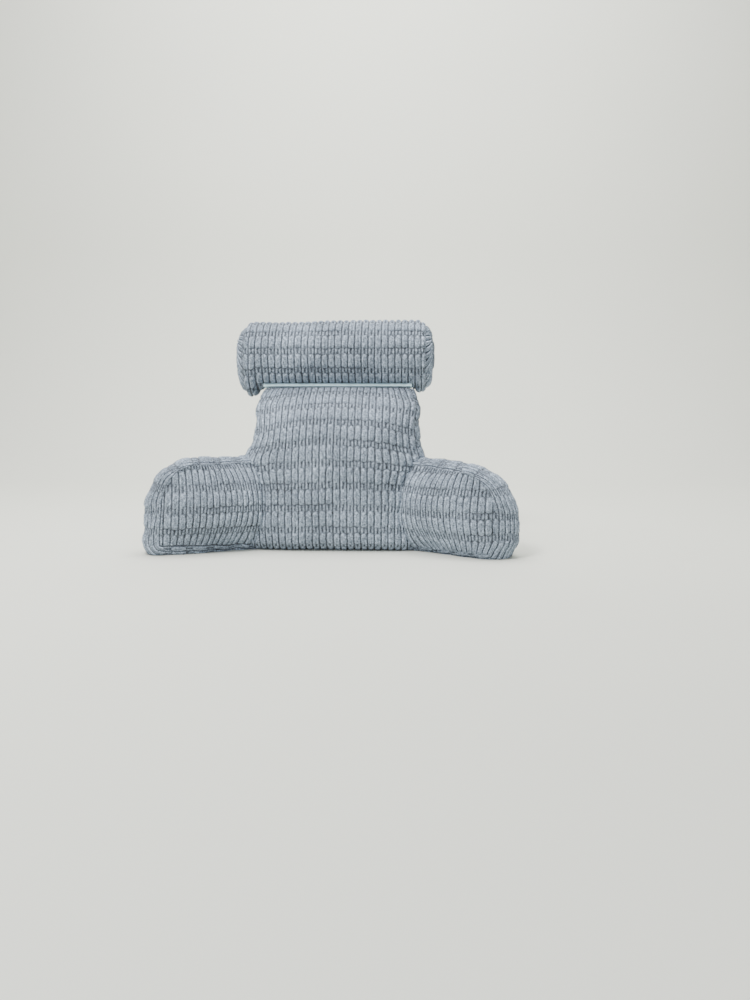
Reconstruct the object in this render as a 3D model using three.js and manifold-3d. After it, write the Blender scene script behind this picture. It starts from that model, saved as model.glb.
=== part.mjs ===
// A backrest pillow in ribbed plush: a wedge-shaped back, two splayed arms and a neck roll on a woven band.
// Millimetres. X runs to the viewer's right, Y from the front to the rear, Z up from the surface it stands on.
// The pieces are laid out from the front bottom edge of the back, and the whole is centred at the end.
import * as THREE from "three";
import { mergeVertices } from "three/addons/utils/BufferGeometryUtils.js";
import Module from "manifold-3d";

// The plush: ribs side by side, each a row of tall kernels with a band of short pile between them.
const RIB_PITCH = 17.5;
const RIB_HEIGHT = 5;
const ROW_PITCH = 54;
const BAND_LENGTH = 15;
const BAND_SHARE = 0.45;
const SEAM_DEPTH = 2.5;

// Where pieces meet or rest.
const GAP = 0.4;
const ROOM_SCALE = 1.004;
const FLAT_HEIGHT = 7;

// The back.
const BACK = {
  height: 418,
  ribs: 26,
  rows: 16,
  depthRibs: 4,
  rearLean: 0.227,
  baseDepth: 180,
  frontCrown: 8,
  rearCrown: 12,
  cornerPower: 7,
  sideThinning: 0.42,
  sidePower: 7,
  sideCrown: 9,
  straightShare: 0.62,
};

// The line of the back's front in its middle plane: upright behind the waist, then leaning back to the neck.
const FRONT_LINE = [
  { height: 0, depth: -2 },
  { height: 60, depth: -4 },
  { height: 130, depth: -5 },
  { height: 210, depth: -4 },
  { height: 270, depth: 2 },
  { height: 323, depth: 16 },
  { height: 366, depth: 45 },
  { height: 400, depth: 82 },
  { height: 418, depth: 108 },
];

// Half of the back's width at each height.
const BACK_OUTLINE = [
  { height: 0, half: 212 },
  { height: 100, half: 218 },
  { height: 180, half: 227 },
  { height: 232, half: 234 },
  { height: 268, half: 221 },
  { height: 302, half: 213 },
  { height: 335, half: 212 },
  { height: 373, half: 216 },
  { height: 395, half: 210 },
  { height: 418, half: 196 },
];

// The arms. A root is the point where the inner panel's plane meets the front of the back, splay is the angle
// between an arm and the back's width, and slump is how far the seam at the top sinks towards the tip.
const ARM = {
  rootLength: 52,
  seamBottom: 27,
  gussetWidth: 110,
  topWidth: 124,
  tipCrown: 38,
  topCrown: 8,
  rootCrown: 8,
  faceCrown: 30,
  crownPower: 2.4,
  crownRise: 2,
  rootBow: 19,
  bowLength: 170,
  ribBow: 24,
  gussetPower: 2.6,
  lean: 0.05,
  leanHeight: 100,
  rows: 8,
  gussetRibs: 7,
};
const ARMS = [
  {
    name: "arm_left",
    side: -1,
    rootX: 216,
    rootY: -10,
    splay: 20.5,
    length: 212,
    seamTop: 230,
    tipRadius: 86,
    slump: 0,
  },
  {
    name: "arm_right",
    side: 1,
    rootX: 219,
    rootY: -10,
    splay: 26,
    length: 211,
    seamTop: 226,
    tipRadius: 100,
    slump: 18,
  },
];

// The neck roll.
const ROLL = {
  radius: 93.5,
  length: 546,
  ribs: 30,
  ringRows: 11,
  middleY: 205,
  middleZ: 510,
  endRound: 34,
  endDroop: 12,
  droopFrom: 209,
  droopTo: 232,
  endCrown: 8,
  sag: 10,
  sagFrom: 15,
  sagTo: 100,
};

// The woven band between the roll and the back, and the points of its section from its upper edge to its lip.
const BAND = { from: -198, to: 206, thickness: 2, steps: 34, wave: 0.7, waveLength: 96 };
const BAND_SECTION = [
  { y: 151.5, z: 430.8 },
  { y: 154, z: 425 },
  { y: 158, z: 419.8 },
  { y: 166, z: 418 },
  { y: 192, z: 418 },
];

const TOP_OF_BACK = 416.6;
const UNDER_ROLL = 419.4;
const PLUSH = { color: 0x8c96a0, roughness: 0.96, metalness: 0 };
const WOVEN = { color: 0xa3b4c0, roughness: 0.8, metalness: 0 };

const degrees = (value) => THREE.MathUtils.degToRad(value);
const smooth = (value, from, to) => THREE.MathUtils.smoothstep(value, from, to);
const mix = THREE.MathUtils.lerp;

// Reads a column of a table of heights, with soft curves between its rows.
function readAt(rows, column, height) {
  const last = rows.length - 1;
  let n = 0;
  while (n < last - 1 && height > rows[n + 1].height) n += 1;
  const share = (height - rows[n].height) / (rows[n + 1].height - rows[n].height);
  const before = rows[Math.max(n - 1, 0)];
  const after = rows[Math.min(n + 2, last)];
  const slopeIn = (rows[n + 1][column] - before[column]) / (rows[n + 1].height - before.height);
  const slopeOut = (after[column] - rows[n][column]) / (after.height - rows[n].height);
  const span = rows[n + 1].height - rows[n].height;
  const t = THREE.MathUtils.clamp(share, 0, 1);
  const a = (2 * t - 3) * t * t;
  return (
    (1 + a) * rows[n][column] -
    a * rows[n + 1][column] +
    ((t - 2) * t + 1) * t * span * slopeIn +
    (t - 1) * t * t * span * slopeOut
  );
}

// The closed skin of a box of cells. place gives the point for each cell corner on the box's surface.
function skin([across, up, deep], place) {
  const found = new Map();
  const corners = [];
  const index = [];
  const at = (i, j, k) => {
    const key = (i * (up + 1) + j) * (deep + 1) + k;
    if (!found.has(key)) {
      found.set(key, corners.length);
      corners.push({ i, j, k, point: place(i, j, k) });
    }
    return found.get(key);
  };
  const quad = (a, b, c, d, turned) => {
    if (turned) index.push(a, b, d, b, c, d);
    else index.push(a, b, c, a, c, d);
  };
  for (let i = 0; i < across; i += 1) {
    for (let j = 0; j < up; j += 1) {
      const turned = (i + j) % 2 === 1;
      quad(at(i, j, 0), at(i + 1, j, 0), at(i + 1, j + 1, 0), at(i, j + 1, 0), turned);
      quad(at(i, j, deep), at(i, j + 1, deep), at(i + 1, j + 1, deep), at(i + 1, j, deep), turned);
    }
    for (let k = 0; k < deep; k += 1) {
      quad(at(i, 0, k), at(i, 0, k + 1), at(i + 1, 0, k + 1), at(i + 1, 0, k));
      quad(at(i, up, k), at(i + 1, up, k), at(i + 1, up, k + 1), at(i, up, k + 1));
    }
  }
  for (let j = 0; j < up; j += 1) {
    for (let k = 0; k < deep; k += 1) {
      quad(at(0, j, k), at(0, j + 1, k), at(0, j + 1, k + 1), at(0, j, k + 1));
      quad(at(across, j, k), at(across, j, k + 1), at(across, j + 1, k + 1), at(across, j + 1, k));
    }
  }
  return { corners, index };
}

function geometryOf(points, index) {
  const geometry = new THREE.BufferGeometry().setFromPoints(points);
  geometry.setIndex(index);
  return geometry;
}

function volumeOf(points, index) {
  let sum = 0;
  for (let n = 0; n < index.length; n += 3) {
    const [a, b, c] = [points[index[n]], points[index[n + 1]], points[index[n + 2]]];
    sum += a.dot(new THREE.Vector3().crossVectors(b, c));
  }
  return sum;
}

// Turns a skin into a plush solid: each point moves out along the surface by its pile, then rests on what is flat.
function plush({ corners, index }, pile, rest) {
  const points = corners.map((corner) => corner.point);
  const order = volumeOf(points, index) < 0 ? [...index].reverse() : index;
  const geometry = geometryOf(points, order);
  geometry.computeVertexNormals();
  const normals = geometry.getAttribute("normal");
  const raised = corners.map((corner, n) => {
    const normal = new THREE.Vector3().fromBufferAttribute(normals, n);
    const point = corner.point.clone().addScaledVector(normal, pile(corner));
    return rest(point, corner.point);
  });
  return geometryOf(raised, order);
}

// Height of the pile on a rib: a crown on odd lines and a groove on even ones, lower where the pile is short.
function ribPile(line, isBand) {
  const crown = line % 2 === 1 ? RIB_HEIGHT / 2 : -RIB_HEIGHT / 2;
  return isBand && crown > 0 ? crown * BAND_SHARE - RIB_HEIGHT * (1 - BAND_SHARE) * 0.5 : crown;
}

const bandAt = (distance) => THREE.MathUtils.euclideanModulo(distance, ROW_PITCH) < BAND_LENGTH;

// Flattens what comes near the surface that the pillow stands on, at z = ground.
function settled(point, base, ground) {
  if (base.z < FLAT_HEIGHT) point.z = ground;
  point.z = Math.max(point.z, ground);
  return point;
}

// Pushes a square's outline out to a rounded one: power 2 gives a circle, and more gives squarer corners.
function rounded(u, v, power) {
  const size = (Math.abs(u) ** power + Math.abs(v) ** power) ** (1 / power);
  const reach = Math.max(Math.abs(u), Math.abs(v));
  return size > 0 ? [(u * reach) / size, (v * reach) / size] : [0, 0];
}

// A point of the back, with u across, v up and w from front to rear, all from -1 to 1.
function backPoint(u, v, w) {
  const [depth, rise] = rounded(w, v, BACK.cornerPower);
  const height = (BACK.height / 2) * (1 + rise);
  const front = readAt(FRONT_LINE, "depth", height);
  const rear = BACK.baseDepth + BACK.rearLean * height;
  const thin = 1 - BACK.sideThinning * Math.abs(u) ** BACK.sidePower;
  const swell = (1 - rise * rise) * (1 - u * u);
  const crown = depth < 0 ? -BACK.frontCrown * swell : BACK.rearCrown * swell;
  const half = readAt(BACK_OUTLINE, "half", height);
  const even = Math.abs(u) * BACK_OUTLINE[0].half;
  const spread = smooth(Math.abs(u), BACK.straightShare, 1) * (half - BACK_OUTLINE[0].half);
  const bulge = Math.abs(u) === 1 ? BACK.sideCrown * (1 - depth * depth) * (1 - rise ** 4) : 0;
  return new THREE.Vector3(
    Math.sign(u) * (even + spread + bulge),
    (front + rear) / 2 + (depth * thin * (rear - front)) / 2 + crown * Math.abs(depth),
    height,
  );
}

function makeBack() {
  const counts = [BACK.ribs * 2, BACK.rows, BACK.depthRibs * 2];
  const share = (n, count) => (2 * n) / count - 1;
  const form = skin(counts, (i, j, k) =>
    backPoint(share(i, counts[0]), share(j, counts[1]), share(k, counts[2])),
  );
  const pile = ({ i, j, k }) => {
    const isSide = i === 0 || i === counts[0];
    const isEdge = isSide && (j === 0 || j === counts[1] || k === 0 || k === counts[2]);
    if (isEdge) return -SEAM_DEPTH;
    if (isSide) return ribPile(k, j % 2 === 0);
    const isLevel = j === 0 || j === counts[1];
    return ribPile(i, isLevel ? k % 3 === 0 : j % 2 === 0);
  };
  return plush(form, pile, (point, base) => {
    settled(point, base, 0);
    point.z = Math.min(point.z, TOP_OF_BACK);
    return point;
  });
}

// The seam between an arm's panels and its gusset: straight, with a wide curve at the top of the tip.
function armOutline(arm, along) {
  const topBend = Math.max(along - (arm.length - arm.tipRadius), 0);
  const slump = arm.slump * smooth(along, 0, arm.length);
  return {
    top: arm.seamTop - arm.tipRadius + Math.sqrt(arm.tipRadius ** 2 - topBend ** 2) - slump,
    bottom: ARM.seamBottom,
    bend: topBend / arm.tipRadius,
  };
}

// The direction out of the outline, in the panel's own plane, at a point of its seam.
function armOutward(outline, atTop, atBottom, atTip, atRoot) {
  const out = new THREE.Vector2();
  if (atTop) out.add(new THREE.Vector2(outline.bend, Math.sqrt(1 - outline.bend ** 2)));
  if (atBottom) out.add(new THREE.Vector2(0, -1));
  if (atTip) out.add(new THREE.Vector2(1, 0));
  if (atRoot) out.add(new THREE.Vector2(-1, 0));
  return out.normalize();
}

function makeArm(arm, extra) {
  const lines = Math.round((arm.length + ARM.rootLength) / (RIB_PITCH / 2));
  const counts = [lines, ARM.rows, ARM.gussetRibs * 2];
  const turn = degrees(arm.splay);
  const middle = ARM.gussetWidth / 2;
  const place = (i, j, k) => {
    const share = j / counts[1];
    const straight = mix(-ARM.rootLength, arm.length, i / counts[0]);
    const near = 1 - smooth(straight, -ARM.rootLength, arm.length);
    const along = straight + ARM.ribBow * (2 * share - 1) ** 2 * near * (i / counts[0]);
    const outline = armOutline(arm, along);
    const level = mix(outline.bottom, outline.top, share);
    const cross = (2 * k) / counts[2] - 1;
    const local = new THREE.Vector3(along, cross * middle, level);
    if (j === 0 || j === counts[1] || i === 0 || i === counts[0]) {
      const out = armOutward(outline, j === counts[1], j === 0, i === counts[0], i === 0);
      const upward = Math.max(out.y, 0);
      const full = out.x < 0 ? ARM.rootCrown : ARM.tipCrown;
      const crown = mix(full, ARM.topCrown, upward);
      const rise = crown * (1 - Math.abs(cross) ** ARM.gussetPower);
      local.y = (cross * mix(ARM.gussetWidth, ARM.topWidth, upward)) / 2;
      local.x += out.x * rise;
      local.z += out.y * rise;
    } else {
      const u = Math.abs((2 * i) / counts[0] - 1) ** ARM.crownPower;
      const v = Math.abs(2 * share - 1) ** ARM.crownRise;
      local.y += Math.sign(cross) * ARM.faceCrown * (1 - u) * (1 - v);
    }
    const bow = ARM.rootBow * (2 * share - 1) ** 2 * (1 - smooth(along, 0, ARM.bowLength));
    local.y += (bow * (1 - cross)) / 2;
    const lean = ARM.lean * (1 - THREE.MathUtils.clamp(along / arm.length, 0, 1));
    const deep = local.y + middle + lean * (local.z - ARM.leanHeight);
    return new THREE.Vector3(
      arm.side * (arm.rootX + Math.cos(turn) * local.x + Math.sin(turn) * deep),
      arm.rootY - Math.sin(turn) * local.x + Math.cos(turn) * deep,
      local.z,
    );
  };
  const pile = ({ i, j, k }) => {
    const isEnd = i === 0 || i === counts[0];
    const isRim = j === 0 || j === counts[1] || isEnd;
    if (isRim && (k === 0 || k === counts[2])) return extra - SEAM_DEPTH;
    if (i === 0) return extra;
    if (isRim) return extra + ribPile(k, isEnd ? j % 3 === 0 : bandAt((i * RIB_PITCH) / 2));
    return extra + ribPile(i, j % 2 === 0);
  };
  return plush(skin(counts, place), pile, (point, base) => settled(point, base, -extra));
}

function makeRoll() {
  const side = Math.ceil(ROLL.ringRows / 2);
  const counts = [ROLL.ribs * 2, side, ROLL.ringRows - side];
  const half = ROLL.length / 2;
  const place = (i, j, k) => {
    const across = (2 * i) / counts[0] - 1;
    const [u, v] = [(2 * k) / counts[2] - 1, (2 * j) / counts[1] - 1];
    const reach = Math.max(Math.abs(u), Math.abs(v));
    const angle = (Math.PI / 4) * (Math.abs(v) >= Math.abs(u) ? u / (v || 1) : 2 - v / u);
    const flip = Math.abs(v) >= Math.abs(u) ? Math.sign(v) : Math.sign(u);
    const fromEnd = half * (1 - Math.abs(across));
    const tuck = Math.max(1 - fromEnd / ROLL.endRound, 0);
    const radius = ROLL.radius * (1 - 0.24 * tuck ** 2.4) * reach;
    const inward = (1 - reach * reach) * ROLL.endCrown;
    const point = new THREE.Vector3(
      across * (half - ROLL.endCrown) + Math.sign(across) * (Math.abs(across) === 1 ? inward : 0),
      ROLL.middleY + flip * radius * Math.sin(angle),
      ROLL.middleZ + flip * radius * Math.cos(angle),
    );
    const droop = smooth(Math.abs(point.x), ROLL.droopFrom, ROLL.droopTo);
    const low = smooth(ROLL.middleZ - point.z, 0, ROLL.radius);
    const high = smooth(point.z - ROLL.middleZ, 0, ROLL.radius);
    point.z -= ROLL.endDroop * droop * low + ROLL.sag * smooth(-point.x, ROLL.sagFrom, ROLL.sagTo) * high;
    return point;
  };
  const pile = ({ i, j, k }) => {
    const isEnd = i === 0 || i === counts[0];
    const isRim = j === 0 || j === counts[1] || k === 0 || k === counts[2];
    if (isEnd) return isRim ? -SEAM_DEPTH : ribPile(k, j % 2 === 0);
    return ribPile(i, (j + k) % 2 === 0);
  };
  return plush(skin(counts, place), pile, (point) => {
    const overBack = 1 - smooth(Math.abs(point.x), ROLL.droopFrom, ROLL.droopFrom + 8);
    point.z = Math.max(point.z, mix(point.z, UNDER_ROLL, overBack));
    return point;
  });
}

function makeBand() {
  const last = BAND_SECTION.length - 1;
  const counts = [BAND.steps, last, 1];
  const form = skin(counts, (i, j, k) => {
    const x = mix(BAND.from, BAND.to, i / counts[0]);
    const here = BAND_SECTION[last - j];
    const before = BAND_SECTION[Math.max(last - j - 1, 0)];
    const after = BAND_SECTION[Math.min(last - j + 1, last)];
    const run = new THREE.Vector2(after.y - before.y, after.z - before.z).normalize();
    const free = j / last;
    const wave = BAND.wave * free * Math.sin((2 * Math.PI * x) / BAND.waveLength);
    const offset = (k - 0.5) * BAND.thickness;
    return new THREE.Vector3(x, here.y - run.y * offset + wave, here.z + run.x * offset);
  });
  return plush(form, () => 0, (point) => point);
}

const wasm = await Module();
wasm.setup();

function solidOf(geometry) {
  const bare = geometry.clone();
  bare.deleteAttribute("normal");
  bare.deleteAttribute("uv");
  const merged = mergeVertices(bare, 1e-4);
  return new wasm.Manifold(
    new wasm.Mesh({
      numProp: 3,
      vertProperties: merged.getAttribute("position").array,
      triVerts: new Uint32Array(merged.index.array),
    }),
  );
}

function geometryFrom(solid) {
  const mesh = solid.getMesh();
  const geometry = new THREE.BufferGeometry();
  geometry.setAttribute("position", new THREE.BufferAttribute(mesh.vertProperties, 3));
  geometry.setIndex(new THREE.BufferAttribute(mesh.triVerts, 1));
  return geometry;
}

function named(name, geometry, look) {
  const mesh = new THREE.Mesh(geometry, new THREE.MeshStandardMaterial(look));
  mesh.name = name;
  return mesh;
}

// The room that an arm takes in the back: its form grown by the gap along the skin, and again from its middle.
function roomFor(arm) {
  const form = solidOf(makeArm(arm, 0));
  const { min, max } = form.boundingBox();
  const centre = min.map((low, axis) => (low + max[axis]) / 2);
  const swollen = form
    .translate(centre.map((value) => -value))
    .scale(ROOM_SCALE)
    .translate(centre);
  return swollen.add(solidOf(makeArm(arm, GAP)));
}

// The back is pressed in where the roots of the arms are sewn to it.
const pressed = ARMS.reduce((back, arm) => back.subtract(roomFor(arm)), solidOf(makeBack()));

const pillow = new THREE.Group();
pillow.add(named("backrest", geometryFrom(pressed), PLUSH));
ARMS.forEach((arm) => pillow.add(named(arm.name, makeArm(arm, 0), PLUSH)));
pillow.add(named("neck_roll", makeRoll(), PLUSH));
pillow.add(named("neck_band", makeBand(), WOVEN));

const middle = new THREE.Box3().setFromObject(pillow).getCenter(new THREE.Vector3());
pillow.position.set(-middle.x, -middle.y, 0);

export default pillow;
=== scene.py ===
"""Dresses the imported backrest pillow: ribbed plush cushions, a woven neck band and a plain studio.

Sizes are millimetres in the pillow's own layout, whose origin is under the front edge of the back. Meshes
are built in metres in the frame's axes.
"""

import logging
import math
from collections.abc import Sequence
from dataclasses import dataclass
from enum import Enum
from itertools import accumulate

import bpy
import numpy as np
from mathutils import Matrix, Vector


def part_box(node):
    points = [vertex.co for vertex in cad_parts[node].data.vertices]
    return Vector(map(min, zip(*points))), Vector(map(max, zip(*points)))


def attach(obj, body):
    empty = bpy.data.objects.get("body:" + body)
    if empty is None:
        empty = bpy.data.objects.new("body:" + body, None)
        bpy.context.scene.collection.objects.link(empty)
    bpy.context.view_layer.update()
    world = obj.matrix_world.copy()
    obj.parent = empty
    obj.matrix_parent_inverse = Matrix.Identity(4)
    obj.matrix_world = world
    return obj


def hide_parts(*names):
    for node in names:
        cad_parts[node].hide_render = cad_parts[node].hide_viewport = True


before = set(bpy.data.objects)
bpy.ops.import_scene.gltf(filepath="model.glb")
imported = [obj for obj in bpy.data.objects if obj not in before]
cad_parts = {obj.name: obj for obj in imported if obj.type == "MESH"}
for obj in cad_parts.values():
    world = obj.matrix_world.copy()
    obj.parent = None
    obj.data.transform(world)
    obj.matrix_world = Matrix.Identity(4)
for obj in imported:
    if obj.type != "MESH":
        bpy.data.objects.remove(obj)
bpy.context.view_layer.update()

LOG = logging.getLogger("pillow")

MILLIMETRE = 0.001
RIB_PITCH = 17.5
HALF_RIB = RIB_PITCH / 2
ROW_PITCH = 54.0
PILE_HEIGHT = 6.0
TOP_OF_BACK = 416.6
UNDER_ROLL = 419.4
ROOM_ROUND_ARM = 0.7
ABOVE_FLOOR = 0.15
ROLL_MIDDLE = (205.0, 510.0)
ROLL_BOX_MIDDLE = 203.63
CLOTH_MAP = "cloth"
SEAM = "seam"

Cell = tuple[int, int, int]
Pair = tuple[float, float]
Triple = tuple[float, float, float]
Rgba = tuple[float, float, float, float]
Piece = bpy.types.Object
Material = bpy.types.Material
Node = bpy.types.Node
Socket = bpy.types.NodeSocket
Inputs = dict[str | int, object]


class Side(Enum):
    """A side of a box of cells."""

    FRONT = "front"
    REAR = "rear"
    BOTTOM = "bottom"
    TOP = "top"
    LEFT = "left"
    RIGHT = "right"


def mix(low: float, high: float, share: float) -> float:
    """Blends from low at share 0 to high at share 1."""
    return low + (high - low) * share


def smooth(value: float, start: float, end: float) -> float:
    """Rises softly from 0 at start to 1 at end."""
    share = min(max((value - start) / (end - start), 0.0), 1.0)
    return share * share * (3 - 2 * share)


def lengths(points: Sequence[Vector], start: float) -> list[float]:
    """Adds up the distances along a run of points, from the length at its first point."""
    return list(accumulate(((b - a).length for a, b in zip(points, points[1:])), initial=start))


@dataclass(frozen=True)
class Line:
    """A soft curve through a short table of (height, value) rows."""

    rows: tuple[Pair, ...]

    def at(self, height: float) -> float:
        """Reads the curve.

        Args:
            height: Height in millimetres.

        Returns:
            The value at that height.
        """
        rows = self.rows
        last = len(rows) - 1
        n = 0
        while n < last - 1 and height > rows[n + 1][0]:
            n += 1
        (h0, a), (h1, b) = rows[n], rows[n + 1]
        before, after = rows[max(n - 1, 0)], rows[min(n + 2, last)]
        slope_in = (b - before[1]) / (h1 - before[0])
        slope_out = (after[1] - a) / (after[0] - h0)
        t = min(max((height - h0) / (h1 - h0), 0.0), 1.0)
        bend = (2 * t - 3) * t * t
        span = h1 - h0
        return (
            (1 + bend) * a
            - bend * b
            + ((t - 2) * t + 1) * t * span * slope_in
            + (t - 1) * t * t * span * slope_out
        )


class Wires:
    """Adds and joins nodes in a node tree."""

    def __init__(self, tree: bpy.types.NodeTree) -> None:
        """Takes the tree to work in."""
        self.tree = tree

    def add(self, kind: str, given: Inputs | None = None, **settings: object) -> Node:
        """Adds a node.

        Args:
            kind: The node's type.
            given: What its inputs get, by their name or number.
            **settings: Properties to set on it.

        Returns:
            The new node.
        """
        node = self.tree.nodes.new(kind)
        for key, value in settings.items():
            setattr(node, key, value)
        self.feed(node, given or {})
        return node

    def feed(self, node: Node, given: Inputs) -> None:
        """Feeds a node's inputs.

        Args:
            node: The node.
            given: An output socket or a plain value for each input, by the input's name or number.
        """
        for key, value in given.items():
            if isinstance(value, Socket):
                self.tree.links.new(value, node.inputs[key])
            else:
                node.inputs[key].default_value = value

    def math(self, operation: str, *values: object, clamp: bool = False) -> Socket:
        """Adds a math node, which keeps its result from 0 to 1 if told to clamp it."""
        given = dict(enumerate(values))
        return self.add("ShaderNodeMath", given, operation=operation, use_clamp=clamp).outputs[0]

    def times(self, first: object, second: object) -> Socket:
        """Multiplies two numbers."""
        return self.math("MULTIPLY", first, second)

    def fit(self, value: object, scale: object, offset: object) -> Socket:
        """Multiplies a number by a scale and adds an offset."""
        return self.math("MULTIPLY_ADD", value, scale, offset)

    def dome(self, share: object) -> Socket:
        """Turns a share of the way to an edge into the height of a dome over it."""
        return self.math("SQRT", self.math("SUBTRACT", 1.0, share, clamp=True))

    def vector(self, operation: str, first: object, second: object) -> Socket:
        """Adds a vector math node, whose second value is a number where it scales."""
        given = {0: first, "Scale" if operation == "SCALE" else 1: second}
        return self.add("ShaderNodeVectorMath", given, operation=operation).outputs[0]

    def step(self, value: object, start: float, end: float) -> Socket:
        """Adds a soft rise from 0 at start to 1 at end."""
        given = {"Value": value, "From Min": start, "From Max": end}
        return self.add("ShaderNodeMapRange", given, interpolation_type="SMOOTHSTEP").outputs[0]

    def blend(self, share: object, low: object, high: object) -> Socket:
        """Mixes two colours by the share of the second one."""
        return self.add("ShaderNodeMix", {0: share, 6: low, 7: high}, data_type="RGBA").outputs[2]

    def noise(
        self, place: object, scale: float, detail: float = 2.0, rough: float = 0.5, output: str | int = 0
    ) -> Socket:
        """Adds a noise node.

        Args:
            place: Where it is read.
            scale: How fine it is.
            detail: How many finer layers it has.
            rough: How strong those are.
            output: Which of its outputs is wanted.

        Returns:
            The noise.
        """
        given = {"Vector": place, "Scale": scale, "Detail": detail, "Roughness": rough}
        return self.add("ShaderNodeTexNoise", given).outputs[output]


@dataclass(frozen=True)
class PlushWeave:
    """The pattern of the plush: ribs of tall kernels, with a band of low double ridges between their rows.

    Pitches and shifts are metres, and scales are per metre. Heights are shares of the pile, and places across
    a rib run from 0 at its middle to 1 at its edge.
    """

    rib_pitch: float = RIB_PITCH * MILLIMETRE
    row_pitch: float = ROW_PITCH * MILLIMETRE
    band_share: float = 0.27
    band_edge: float = 0.08
    slot_height: float = 0.08
    ridge_height: float = 0.46
    ridge_place: float = 0.48
    ridge_half: float = 0.36
    groove_height: float = 0.10
    kernel_narrowing: float = 1.17
    narrowing_spread: float = 0.12
    start_spread: float = 0.07
    flank_power: float = 2.6
    upper_power: float = 3.0
    lower_power: float = 6.0
    unevenness: float = 0.14
    drift: float = 0.0026
    drift_scale: float = 11.0
    wobble: float = 0.0012
    wobble_scale: float = 70.0
    # Painted shadow with a real dip: how deeply, how near the kernels' edges and in which patches the ridges
    # are cut.
    shadow: float = 0.8
    shadow_reach: Pair = (3.0, 1.2)
    shadow_patch_scale: float = 6.0
    shadow_patch_range: Pair = (0.36, 0.6)
    shoulder_rise: Pair = (0.3, 0.55)
    shoulder_fall: Pair = (0.6, 0.85)
    lit_end: Pair = (0.35, 0.9)

    def pattern(self, wires: Wires, cloth: object) -> dict[str, Socket]:
        """Draws the pattern in a node tree.

        Args:
            wires: The tree.
            cloth: The place on the cloth, in metres, across and along the ribs.

        Returns:
            The pile's height and a painted highlight along the ribs' shoulders and over the kernels' upper
            ends, both from 0 to 1, and a random number for each kernel.
        """
        moved = cloth
        for scale, reach in ((self.drift_scale, self.drift), (self.wobble_scale, self.wobble)):
            noise = wires.vector("SUBTRACT", wires.noise(cloth, scale, output="Color"), (0.5, 0.5, 0.5))
            moved = wires.vector("ADD", moved, wires.vector("SCALE", noise, 2 * reach))
        parts = wires.add("ShaderNodeSeparateXYZ", {0: moved}).outputs
        across = wires.math("DIVIDE", parts[0], self.rib_pitch)
        column = wires.math("FLOOR", across)
        side = wires.math("ABSOLUTE", wires.fit(wires.math("FRACT", across), 2.0, -1.0))
        draw = wires.add("ShaderNodeTexWhiteNoise", {"W": column}, noise_dimensions="1D").outputs["Value"]
        start = wires.fit(draw, self.start_spread, -self.start_spread / 2)
        along = wires.math("ADD", wires.math("DIVIDE", parts[1], self.row_pitch), start)
        middle, half = (1 + self.band_share) / 2, (1 - self.band_share) / 2
        end = wires.math("DIVIDE", wires.math("SUBTRACT", wires.math("FRACT", along), middle), half)
        place = wires.add("ShaderNodeCombineXYZ", {0: column, 1: wires.math("FLOOR", along)}).outputs[0]
        lots = wires.add("ShaderNodeTexWhiteNoise", {"Vector": place}, noise_dimensions="2D")
        lot = lots.outputs["Value"]
        least = self.kernel_narrowing - self.narrowing_spread / 2
        narrowing = wires.fit(lot, self.narrowing_spread, least)
        flank = wires.math("POWER", wires.times(side, narrowing), self.flank_power)
        upper = wires.math("POWER", wires.math("MAXIMUM", end, 0.0), self.upper_power)
        lower = wires.math("POWER", wires.math("MAXIMUM", wires.times(end, -1.0), 0.0), self.lower_power)
        edge = wires.math("ADD", flank, wires.math("ADD", upper, lower))
        kernel = wires.dome(edge)
        off = wires.math("DIVIDE", wires.math("SUBTRACT", side, self.ridge_place), self.ridge_half)
        hump = wires.dome(wires.math("POWER", off, 2.0))
        # Painted shadow: in random patches the ridges are cut down near the kernels' edges, a dip in the
        # relief that the colour also paints as a dark line.
        shadow_patches = wires.step(wires.noise(cloth, self.shadow_patch_scale, 1.0), *self.shadow_patch_range)
        crisp = wires.times(shadow_patches, -self.shadow)
        ridge = wires.fit(hump, self.ridge_height, self.slot_height)
        ridge = wires.times(ridge, wires.fit(wires.step(edge, *self.shadow_reach), crisp, 1.0))
        height = wires.math("MAXIMUM", wires.times(kernel, wires.fit(lot, -self.unevenness, 1.0)), ridge)
        in_row = wires.step(wires.math("FRACT", along), self.band_share, self.band_share + self.band_edge)
        height = wires.math("MAXIMUM", height, wires.times(in_row, self.groove_height))
        # Painted highlight: the ribs' shoulders and the kernels' upper ends are lightened as if lit from
        # above.
        fall = wires.step(side, *self.shoulder_fall)
        shoulder_highlight = wires.math("SUBTRACT", wires.step(side, *self.shoulder_rise), fall)
        light = wires.math("MAXIMUM", shoulder_highlight, wires.times(wires.step(end, *self.lit_end), kernel))
        return {"height": height, "light": light, "lot": lot}


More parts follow.
